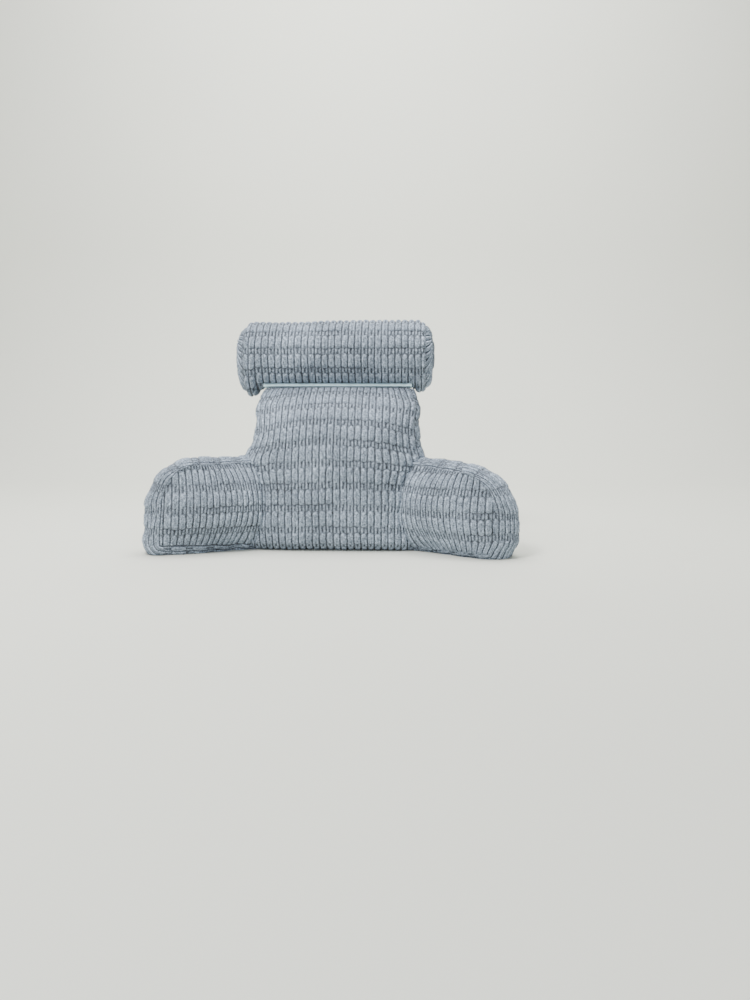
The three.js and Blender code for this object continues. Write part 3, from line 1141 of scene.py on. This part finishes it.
@dataclass
class NeckRoll(Cushion):
    """The neck roll: a round bolster whose ends are gathered and sag at the bottom."""

    radius: float = 93.5
    length: float = 536.0
    middle_x: float = -5.0
    end_round: float = 31.0
    end_tuck: float = 0.24
    tuck_power: float = 2.4
    left_droop: float = 21.0
    right_droop: float = 13.0
    droop_from: float = 209.0
    droop_to: float = 232.0
    end_crown: float = 8.0
    sag: float = 4.5
    sag_from: float = 15.0
    sag_to: float = 100.0
    pleats: int = 16
    pleat_depth: float = 0.016
    gathered: int = 1
    end_ribs: int = 28
    end_margin: float = 16.0
    twist: float = 1.1
    left_cloth: float = 12000.0
    right_cloth: float = 14000.0
    round_cloth: float = 16000.0

    def polar(self, cell: Cell) -> Pair:
        """Gives a cell corner's place in the roll's round section.

        Args:
            cell: The corner.

        Returns:
            Its angle from the top towards the rear, and its share of the radius.
        """
        _, j, k = cell
        u, v = 2 * k / self.counts[2] - 1, 2 * j / self.counts[1] - 1
        reach = max(abs(u), abs(v))
        if not reach:
            return 0.0, 0.0
        if abs(v) >= abs(u):
            return math.pi / 4 * u / v + (0 if v > 0 else math.pi), reach
        return math.pi / 4 * (2 - v / u) + (0 if u > 0 else math.pi), reach

    def place(self, cell: Cell) -> Vector:
        """Gives the point of a cell corner in the pillow's layout.

        Args:
            cell: The corner.

        Returns:
            The point, in millimetres.
        """
        across = 2 * cell[0] / self.counts[0] - 1
        angle, reach = self.polar(cell)
        half = self.length / 2
        tuck = max(1 - half * (1 - abs(across)) / self.end_round, 0.0)
        radius = self.radius * (1 - self.end_tuck * tuck**self.tuck_power) * reach
        radius *= 1 + self.pleat_depth * tuck * math.cos(self.pleats * angle)
        inward = (1 - reach * reach) * self.end_crown if abs(across) == 1 else 0.0
        x = self.middle_x + across * (half - self.end_crown) + math.copysign(inward, across)
        middle_y, middle_z = ROLL_MIDDLE
        point = Vector((x, middle_y + radius * math.sin(angle), middle_z + radius * math.cos(angle)))
        droop = smooth(abs(x), self.droop_from, self.droop_to)
        low = smooth(middle_z - point.z, 0, self.radius)
        high = smooth(point.z - middle_z, 0, self.radius)
        hang = self.left_droop if x < 0 else self.right_droop
        point.z -= hang * droop * low + self.sag * smooth(-x, self.sag_from, self.sag_to) * high
        return point

    def cloth(self, side: Side, cell: Cell, cells: Sequence[Cell]) -> Pair:
        """Gives where a corner of a cell lies on the cloth.

        Args:
            side: The side of the cell.
            cell: The corner.
            cells: All the cell's corners.

        Returns:
            Millimetres across and along the ribs.
        """
        centre = sum((self.direction(other) for other in cells), Vector((0, 0)))
        facing = math.atan2(centre.x, centre.y)
        angle, reach = self.polar(cell)
        turn = facing + math.remainder((angle if reach else facing) - facing, 2 * math.pi)
        last = self.counts[0]
        if max(min(n, last - n) for n, _, _ in cells) > self.gathered:
            return self.round_cloth + cell[0] * HALF_RIB, self.radius * (turn + math.pi / 2)
        inside = min(cell[0], last - cell[0])
        out = (self.gathered - inside) * HALF_RIB + (1 - reach) * self.radius
        start = self.left_cloth if cell[0] < last / 2 else self.right_cloth
        ribs = turn / (2 * math.pi) * self.end_ribs * RIB_PITCH
        return start + ribs - self.twist * out, out + self.end_margin

    def direction(self, cell: Cell) -> Vector:
        """Gives a cell corner's place in the roll's section as a vector towards the rear and up."""
        angle, reach = self.polar(cell)
        return Vector((reach * math.sin(angle), reach * math.cos(angle)))

    def is_seam(self, cell: Cell) -> bool:
        """Tells whether a cell corner lies where an end panel is sewn on."""
        return min(cell[0], self.counts[0] - cell[0]) == self.gathered

    def rest(self, points: np.ndarray) -> np.ndarray:
        """Rests the roll on the back.

        Args:
            points: Points in the pillow's layout, in millimetres.

        Returns:
            The points at rest.
        """
        over = np.abs(points[:, 0]) < self.droop_from
        points[:, 2] = np.where(over, np.maximum(points[:, 2], UNDER_ROLL), points[:, 2])
        return points


@dataclass
class NeckBand(Sewn):
    """The woven band that joins the roll to the back. It has a cell for each step of its section."""

    name: str = "woven_band"
    node: str = "neck_band"
    counts: Cell = (120, 7, 1)
    start: float = -198.0
    end: float = 206.0
    thickness: float = 1.4
    wave: float = 0.7
    wave_length: float = 96.0
    crumple: float = 1.6
    crumple_rise: Pair = (120.0, 200.0)
    crumple_width: float = 4.1
    crumple_dip: float = 0.4
    strip_width: float = 12.0
    section: tuple[Pair, ...] = (
        ((145.8, 422.4), (148.8, 426.8), (152.0, 430.6), (157.0, 428.2))
        + ((162.0, 425.2), (169.0, 421.4), (177.0, 418.4), (192.0, 418.0))
    )

    def place(self, cell: Cell) -> Vector:
        """Gives the point of a cell corner in the pillow's layout.

        Args:
            cell: The corner.

        Returns:
            The point, in millimetres.
        """
        i, j, k = cell
        last = self.counts[1]
        x = mix(self.start, self.end, i / self.counts[0])
        n = last - j
        (ya, za), (yb, zb) = self.section[max(n - 1, 0)], self.section[min(n + 1, last)]
        run = Vector((yb - ya, zb - za)).normalized()
        free = j / last
        wave = self.wave * free * math.sin(2 * math.pi * x / self.wave_length)
        crumpled = self.crumple * free * smooth(x, *self.crumple_rise) * math.sin(x / self.crumple_width)
        offset = (k - 0.5) * self.thickness
        y, z = self.section[n]
        dip = self.crumple_dip * crumpled * free
        return Vector((x, y - run.y * offset + wave + crumpled, z + run.x * offset - dip))

    def cloth(self, side: Side, cell: Cell, cells: Sequence[Cell]) -> Pair:
        """Gives where a corner of a cell lies along and across the band."""
        across = self.strip_width * cell[1] + self.thickness * cell[2]
        return mix(self.start, self.end, cell[0] / self.counts[0]), across

    def make(self, finish: Material, shift: Vector) -> Piece:
        """Builds the band.

        Args:
            finish: The tape.
            shift: From the pillow's layout to the frame, in metres.

        Returns:
            The finished object.
        """
        piece = self.sew(shift)
        piece.data.materials.append(finish)
        return piece

    def flat_size(self) -> Pair:
        """Measures the length and width of the band before it was bent, in metres."""
        width = sum(math.dist(a, b) for a, b in zip(self.section, self.section[1:]))
        return (self.end - self.start) * MILLIMETRE, width * MILLIMETRE


@dataclass
class Pillow:
    """The whole pillow: a back, two arms, a neck roll and the band between the roll and the back."""

    plush: Plush = Plush()
    tape: Tape = Tape()

    def make(self, shift: Vector) -> None:
        """Builds every piece, hides the solid that it stands for, ties it to the frame and reports it.

        Args:
            shift: From the pillow's layout to the frame, in metres.
        """
        left_arm = Arm(
            name="plush_left_arm",
            node="arm_left",
            counts=(36, 18, 20),
            slack=3.5,
            seed=3.1,
            side=-1,
            root_x=216.0,
            splay=20.5,
            length=210.5,
            seam_top=229.0,
            tip_radius=89.0,
            slump=0.0,
            seam_root=17.0,
            seam_tip=25.0,
            foot=5.0,
            foot_height=160.0,
            row_start=1.0,
            rib_offset=HALF_RIB,
            cloth_start=6000.0,
        )
        right_arm = Arm(
            name="plush_right_arm",
            node="arm_right",
            counts=(34, 18, 20),
            slack=3.5,
            seed=7.7,
            gathering=0.1,
        )
        roll = NeckRoll(name="plush_roll", node="neck_roll", counts=(58, 21, 21), seed=5.2)
        back = Back(name="plush_back", node="backrest", counts=(50, 36, 9), seed=1.3)
        cushions = (left_arm, right_arm, roll, back)
        ribs = RibGroup(self.plush.weave)
        finish = self.plush.make()
        made = {cushion.node: cushion.make(ribs, finish, shift) for cushion in cushions}
        for arm in (left_arm, right_arm):
            self.press_in(made[back.node], made[arm.node])
        for cushion in cushions:
            self.declare(made[cushion.node], cushion.node, "ribbed_plush")
        band = NeckBand()
        strip = band.make(self.tape.make(), shift)
        self.declare(strip, band.node, "woven_band")

    @staticmethod
    def press_in(back: Piece, arm: Piece) -> None:
        """Presses the root of an arm into the back.

        Args:
            back: The back, which makes room.
            arm: The arm.
        """
        room = add_object("room for the arm", arm.data.copy())
        normals = read_rows(room.data.vertices, "normal")
        move_points(room, read_rows(room.data.vertices) + normals * ROOM_ROUND_ARM * MILLIMETRE)
        cut = back.modifiers.new("room for the arm", "BOOLEAN")
        cut.operation = "DIFFERENCE"
        cut.solver = "MANIFOLD"
        cut.object = room
        settle_mesh(back)
        bpy.data.objects.remove(room)

    @staticmethod
    def declare(piece: Piece, node: str, slot: str) -> None:
        """Ties a piece to the frame and reports it.

        Args:
            piece: The piece.
            node: The solid that it stands for.
            slot: Not used.
        """
        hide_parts(node)
        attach(piece, "root")
        LOG.info("%s: %d faces in place of %s", piece.name, len(piece.data.polygons), node)


@dataclass(frozen=True)
class SoftLight:
    """A square soft light, with its sizes in metres."""

    name: str
    place: Triple
    aim: Triple
    size: float
    watts: float
    colour: Triple

    def hang(self) -> None:
        """Adds the light to the scene."""
        data = bpy.data.lights.new(self.name, "AREA")
        data.shape = "SQUARE"
        data.size = self.size
        data.energy = self.watts
        data.color = self.colour
        light = add_object(self.name, data)
        light.location = self.place
        light.rotation_euler = (Vector(self.aim) - Vector(self.place)).to_track_quat("-Z", "Y").to_euler()


@dataclass
class Studio:
    """The plain studio: a seamless sheet, soft lights and the camera.

    Sizes are metres, but the sensor's is millimetres, and the picture's height, focal length and horizon are
    pixels.
    """

    paper: Paper = Paper()
    half_width: float = 6.0
    front: float = -4.0
    wall: float = 2.6
    bend: float = 1.2
    bend_steps: int = 24
    ceiling: float = 5.0
    room_colour: Rgba = (0.93, 0.96, 1.0, 1.0)
    room_strength: float = 0.42
    camera_place: Triple = (0.2125, -2.2879, 0.418)
    camera_turn: float = 2.5
    nearest: float = 0.05
    sensor: float = 36.0
    picture_height: float = 1000.0
    focal: float = 900.0
    horizon: float = 388.0
    lights: tuple[SoftLight, ...] = (
        SoftLight("key light", (-0.9, -1.6, 2.7), (0.0, 0.0, 0.25), 0.8, 88.0, (1.0, 0.985, 0.96)),
        SoftLight("fill light", (-0.3, -2.9, 1.1), (0.0, 0.0, 0.3), 1.6, 22.0, (0.95, 0.98, 1.0)),
        SoftLight("top light", (0.0, 0.0, 2.4), (0.0, 0.1, 0.0), 1.6, 16.0, (1.0, 1.0, 1.0)),
        SoftLight("wall light", (0.0, 0.7, 3.4), (0.0, 2.6, 1.4), 3.0, 178.0, (1.0, 1.0, 0.97)),
    )

    def make(self, shift: Vector) -> None:
        """Builds the sheet, lights and camera.

        Args:
            shift: From the pillow's layout to the frame, in metres.
        """
        self.make_sheet()
        for light in self.lights:
            light.hang()
        world = bpy.data.worlds.new("room")
        world.use_nodes = True
        room = {"Color": self.room_colour, "Strength": self.room_strength}
        Wires(world.node_tree).feed(world.node_tree.nodes["Background"], room)
        bpy.context.scene.world = world
        self.place_camera(shift)

    def make_sheet(self) -> None:
        """Builds the seamless sheet of paper, from the floor up the wall."""
        start = self.wall - self.bend
        run = [(self.front, 0.0), (start, 0.0)]
        for n in range(1, self.bend_steps + 1):
            angle = math.pi / 2 * n / self.bend_steps
            run.append((start + self.bend * math.sin(angle), self.bend * (1 - math.cos(angle))))
        run.append((self.wall, self.ceiling))
        points = [(x, y, z) for y, z in run for x in (-self.half_width, self.half_width)]
        faces = [(2 * n, 2 * n + 1, 2 * n + 3, 2 * n + 2) for n in range(len(run) - 1)]
        mesh = bpy.data.meshes.new("studio sheet")
        mesh.from_pydata(points, [], faces)
        mesh.shade_smooth()
        mesh.materials.append(self.paper.make())
        add_object("studio sheet", mesh)

    def place_camera(self, shift: Vector) -> None:
        """Sets up the camera at the photo's angle.

        Args:
            shift: From the pillow's layout to the frame, in metres.
        """
        data = bpy.data.cameras.new("camera")
        data.sensor_fit = "VERTICAL"
        data.sensor_height = self.sensor
        data.lens = self.focal / self.picture_height * self.sensor
        data.shift_y = (self.horizon - self.picture_height / 2) / self.picture_height
        data.clip_start = self.nearest
        camera = add_object("camera", data)
        camera.location = Vector(self.camera_place) + shift
        camera.rotation_euler = (math.pi / 2, 0, math.radians(self.camera_turn))
        bpy.context.scene.camera = camera


def main() -> None:
    """Builds the pillow and its studio, and logs the shift from the pillow's layout to the frame."""
    logging.basicConfig(level=logging.INFO, format="%(name)s: %(message)s")
    low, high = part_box("neck_roll")
    middle = (low + high) / 2
    shift = Vector((middle.x, middle.y - ROLL_BOX_MIDDLE * MILLIMETRE, 0))
    LOG.info("layout to frame: %.5f %.5f", shift.x, shift.y)
    Pillow().make(shift)
    Studio().make(shift)


if __name__ == "__main__":
    main()
